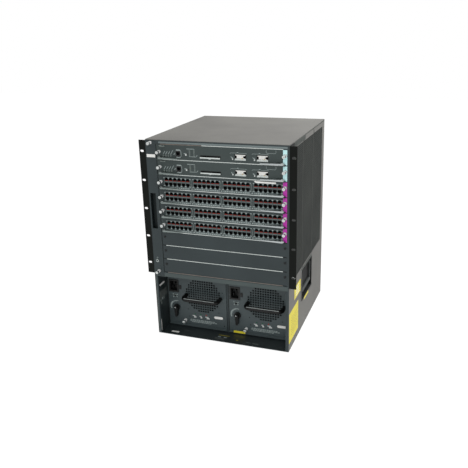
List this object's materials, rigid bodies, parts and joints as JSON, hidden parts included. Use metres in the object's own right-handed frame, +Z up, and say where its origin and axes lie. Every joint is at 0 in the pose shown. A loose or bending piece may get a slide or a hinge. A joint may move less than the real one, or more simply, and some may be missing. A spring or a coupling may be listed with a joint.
{
  "type": "modular_network_chassis",
  "caption": "Rack-mount modular network switch chassis with controller and port modules, a side fan tray and power supplies below",
  "frame": {"origin": "Centre of the underside of the chassis sheet metal, at floor height.", "axes": "+X to the right seen from the front, +Y from the front to the back, +Z up."},
  "size_m": [0.4826, 0.4882, 0.64],
  "materials": {
    "chassis_paint": "powder coat",
    "ear_paint": "powder coat",
    "faceplate_paint": "powder coat",
    "tray_paint": "powder coat",
    "bay_paint": "powder coat",
    "zinc_sheet": "zinc plated",
    "supply_paint": "powder coat",
    "lever_metal": "satin",
    "handle_metal": "satin",
    "bright_screw": "bright",
    "black_plastic": "moulded",
    "circuit_board": "laminate"
  },
  "bodies": {
    "chassis": {"base_pan": "bay_paint", "side_panel_left": "chassis_paint", "side_panel_right": "chassis_paint", "top_cover": "chassis_paint", "rear_cover": "chassis_paint", "front_frame": "faceplate_paint", "bay_shelf": "bay_paint", "bay_divider": "bay_paint", "cage_wall_left": "zinc_sheet", "cage_wall_right": "zinc_sheet", "backplane": "circuit_board", "rack_ear_left": "ear_paint", "rack_ear_right": "ear_paint", "chassis_screws": "bright_screw", "handle_cup_left": "black_plastic", "handle_cup_right": "black_plastic", "blank_panel_7": "chassis_paint", "blank_panel_8": "chassis_paint", "blank_panel_9": "chassis_paint"},
    "side_handle_left": {"side_handle_left": "handle_metal"},
    "side_handle_right": {"side_handle_right": "handle_metal"},
    "fan_tray": {"fan_tray_frame": "tray_paint"},
    "fan_rotor_1": {"fan_rotor_1": "black_plastic"},
    "fan_rotor_2": {"fan_rotor_2": "black_plastic"},
    "fan_rotor_3": {"fan_rotor_3": "black_plastic"},
    "fan_rotor_4": {"fan_rotor_4": "black_plastic"},
    "fan_rotor_5": {"fan_rotor_5": "black_plastic"},
    "fan_rotor_6": {"fan_rotor_6": "black_plastic"},
    "controller_1": {"controller_1_face": "faceplate_paint", "controller_1_board": "circuit_board"},
    "controller_1_lever_left": {"controller_1_lever_left": "lever_metal"},
    "controller_1_lever_right": {"controller_1_lever_right": "lever_metal"},
    "controller_2": {"controller_2_face": "faceplate_paint", "controller_2_board": "circuit_board"},
    "controller_2_lever_left": {"controller_2_lever_left": "lever_metal"},
    "controller_2_lever_right": {"controller_2_lever_right": "lever_metal"},
    "port_card_3": {"port_card_3_face": "faceplate_paint", "port_card_3_board": "circuit_board"},
    "port_card_3_lever_left": {"port_card_3_lever_left": "lever_metal"},
    "port_card_3_lever_right": {"port_card_3_lever_right": "lever_metal"},
    "port_card_4": {"port_card_4_face": "faceplate_paint", "port_card_4_board": "circuit_board"},
    "port_card_4_lever_left": {"port_card_4_lever_left": "lever_metal"},
    "port_card_4_lever_right": {"port_card_4_lever_right": "lever_metal"},
    "port_card_5": {"port_card_5_face": "faceplate_paint", "port_card_5_board": "circuit_board"},
    "port_card_5_lever_left": {"port_card_5_lever_left": "lever_metal"},
    "port_card_5_lever_right": {"port_card_5_lever_right": "lever_metal"},
    "port_card_6": {"port_card_6_face": "faceplate_paint", "port_card_6_board": "circuit_board"},
    "port_card_6_lever_left": {"port_card_6_lever_left": "lever_metal"},
    "port_card_6_lever_right": {"port_card_6_lever_right": "lever_metal"},
    "power_supply_left": {"power_supply_left_case": "supply_paint", "power_supply_left_handle": "black_plastic"},
    "power_supply_left_switch_knob": {"power_supply_left_switch_knob": "black_plastic"},
    "power_supply_left_fan_rotor": {"power_supply_left_fan_rotor": "black_plastic"},
    "power_supply_right": {"power_supply_right_case": "supply_paint", "power_supply_right_handle": "black_plastic"},
    "power_supply_right_switch_knob": {"power_supply_right_switch_knob": "black_plastic"},
    "power_supply_right_fan_rotor": {"power_supply_right_fan_rotor": "black_plastic"}
  },
  "joints": [
    {"name": "side_handle_left_hinge", "type": "hinge", "parent": "chassis", "child": "side_handle_left", "pos_m": [-0.2157, -0.0022, 0.188], "axis": [0, 1, 0], "range_deg": [0, 90]},
    {"name": "side_handle_right_hinge", "type": "hinge", "parent": "chassis", "child": "side_handle_right", "pos_m": [0.2157, -0.0022, 0.188], "axis": [0, 1, 0], "range_deg": [-90, 0]},
    {"name": "fan_tray_slide", "type": "slide", "parent": "chassis", "child": "fan_tray", "axis": [0, -1, 0], "range_m": [0, 0.38]},
    {"name": "fan_rotor_1_spin", "type": "hinge", "parent": "fan_tray", "child": "fan_rotor_1", "pos_m": [-0.2021, -0.1037, 0.2873], "axis": [1, 0, 0], "continuous": true},
    {"name": "fan_rotor_2_spin", "type": "hinge", "parent": "fan_tray", "child": "fan_rotor_2", "pos_m": [-0.2021, -0.1037, 0.4213], "axis": [1, 0, 0], "continuous": true},
    {"name": "fan_rotor_3_spin", "type": "hinge", "parent": "fan_tray", "child": "fan_rotor_3", "pos_m": [-0.2021, -0.1037, 0.5553], "axis": [1, 0, 0], "continuous": true},
    {"name": "fan_rotor_4_spin", "type": "hinge", "parent": "fan_tray", "child": "fan_rotor_4", "pos_m": [-0.2021, 0.0463, 0.2873], "axis": [1, 0, 0], "continuous": true},
    {"name": "fan_rotor_5_spin", "type": "hinge", "parent": "fan_tray", "child": "fan_rotor_5", "pos_m": [-0.2021, 0.0463, 0.4213], "axis": [1, 0, 0], "continuous": true},
    {"name": "fan_rotor_6_spin", "type": "hinge", "parent": "fan_tray", "child": "fan_rotor_6", "pos_m": [-0.2021, 0.0463, 0.5553], "axis": [1, 0, 0], "continuous": true},
    {"name": "controller_1_slide", "type": "slide", "parent": "chassis", "child": "controller_1", "axis": [0, -1, 0], "range_m": [0, 0.37]},
    {"name": "controller_1_lever_left_hinge", "type": "hinge", "parent": "controller_1", "child": "controller_1_lever_left", "pos_m": [-0.1715, -0.2412, 0.58725], "axis": [0, 0, 1], "range_deg": [-90, 0]},
    {"name": "controller_1_lever_right_hinge", "type": "hinge", "parent": "controller_1", "child": "controller_1_lever_right", "pos_m": [0.2005, -0.2412, 0.58725], "axis": [0, 0, 1], "range_deg": [0, 90]},
    {"name": "controller_2_slide", "type": "slide", "parent": "chassis", "child": "controller_2", "axis": [0, -1, 0], "range_m": [0, 0.37]},
    {"name": "controller_2_lever_left_hinge", "type": "hinge", "parent": "controller_2", "child": "controller_2_lever_left", "pos_m": [-0.1715, -0.2412, 0.54205], "axis": [0, 0, 1], "range_deg": [-90, 0]},
    {"name": "controller_2_lever_right_hinge", "type": "hinge", "parent": "controller_2", "child": "controller_2_lever_right", "pos_m": [0.2005, -0.2412, 0.54205], "axis": [0, 0, 1], "range_deg": [0, 90]},
    {"name": "port_card_3_slide", "type": "slide", "parent": "chassis", "child": "port_card_3", "axis": [0, -1, 0], "range_m": [0, 0.37]},
    {"name": "port_card_3_lever_left_hinge", "type": "hinge", "parent": "port_card_3", "child": "port_card_3_lever_left", "pos_m": [-0.1715, -0.2412, 0.49685], "axis": [0, 0, 1], "range_deg": [-90, 0]},
    {"name": "port_card_3_lever_right_hinge", "type": "hinge", "parent": "port_card_3", "child": "port_card_3_lever_right", "pos_m": [0.2005, -0.2412, 0.49685], "axis": [0, 0, 1], "range_deg": [0, 90]},
    {"name": "port_card_4_slide", "type": "slide", "parent": "chassis", "child": "port_card_4", "axis": [0, -1, 0], "range_m": [0, 0.37]},
    {"name": "port_card_4_lever_left_hinge", "type": "hinge", "parent": "port_card_4", "child": "port_card_4_lever_left", "pos_m": [-0.1715, -0.2412, 0.45165], "axis": [0, 0, 1], "range_deg": [-90, 0]},
    {"name": "port_card_4_lever_right_hinge", "type": "hinge", "parent": "port_card_4", "child": "port_card_4_lever_right", "pos_m": [0.2005, -0.2412, 0.45165], "axis": [0, 0, 1], "range_deg": [0, 90]},
    {"name": "port_card_5_slide", "type": "slide", "parent": "chassis", "child": "port_card_5", "axis": [0, -1, 0], "range_m": [0, 0.37]},
    {"name": "port_card_5_lever_left_hinge", "type": "hinge", "parent": "port_card_5", "child": "port_card_5_lever_left", "pos_m": [-0.1715, -0.2412, 0.40645], "axis": [0, 0, 1], "range_deg": [-90, 0]},
    {"name": "port_card_5_lever_right_hinge", "type": "hinge", "parent": "port_card_5", "child": "port_card_5_lever_right", "pos_m": [0.2005, -0.2412, 0.40645], "axis": [0, 0, 1], "range_deg": [0, 90]},
    {"name": "port_card_6_slide", "type": "slide", "parent": "chassis", "child": "port_card_6", "axis": [0, -1, 0], "range_m": [0, 0.37]},
    {"name": "port_card_6_lever_left_hinge", "type": "hinge", "parent": "port_card_6", "child": "port_card_6_lever_left", "pos_m": [-0.1715, -0.2412, 0.36125], "axis": [0, 0, 1], "range_deg": [-90, 0]},
    {"name": "port_card_6_lever_right_hinge", "type": "hinge", "parent": "port_card_6", "child": "port_card_6_lever_right", "pos_m": [0.2005, -0.2412, 0.36125], "axis": [0, 0, 1], "range_deg": [0, 90]},
    {"name": "power_supply_left_slide", "type": "slide", "parent": "chassis", "child": "power_supply_left", "axis": [0, -1, 0], "range_m": [0, 0.35]},
    {"name": "power_supply_left_switch_knob_hinge", "type": "hinge", "parent": "power_supply_left", "child": "power_supply_left_switch_knob", "pos_m": [-0.178, -0.1742, 0.07], "axis": [0, -1, 0], "range_deg": [0, 90]},
    {"name": "power_supply_left_fan_rotor_spin", "type": "hinge", "parent": "power_supply_left", "child": "power_supply_left_fan_rotor", "pos_m": [-0.084, -0.1524, 0.122], "axis": [0, 1, 0], "continuous": true},
    {"name": "power_supply_right_slide", "type": "slide", "parent": "chassis", "child": "power_supply_right", "axis": [0, -1, 0], "range_m": [0, 0.35]},
    {"name": "power_supply_right_switch_knob_hinge", "type": "hinge", "parent": "power_supply_right", "child": "power_supply_right_switch_knob", "pos_m": [0.0348, -0.1742, 0.07], "axis": [0, -1, 0], "range_deg": [0, 90]},
    {"name": "power_supply_right_fan_rotor_spin", "type": "hinge", "parent": "power_supply_right", "child": "power_supply_right_fan_rotor", "pos_m": [0.1288, -0.1524, 0.122], "axis": [0, 1, 0], "continuous": true}
  ]
}
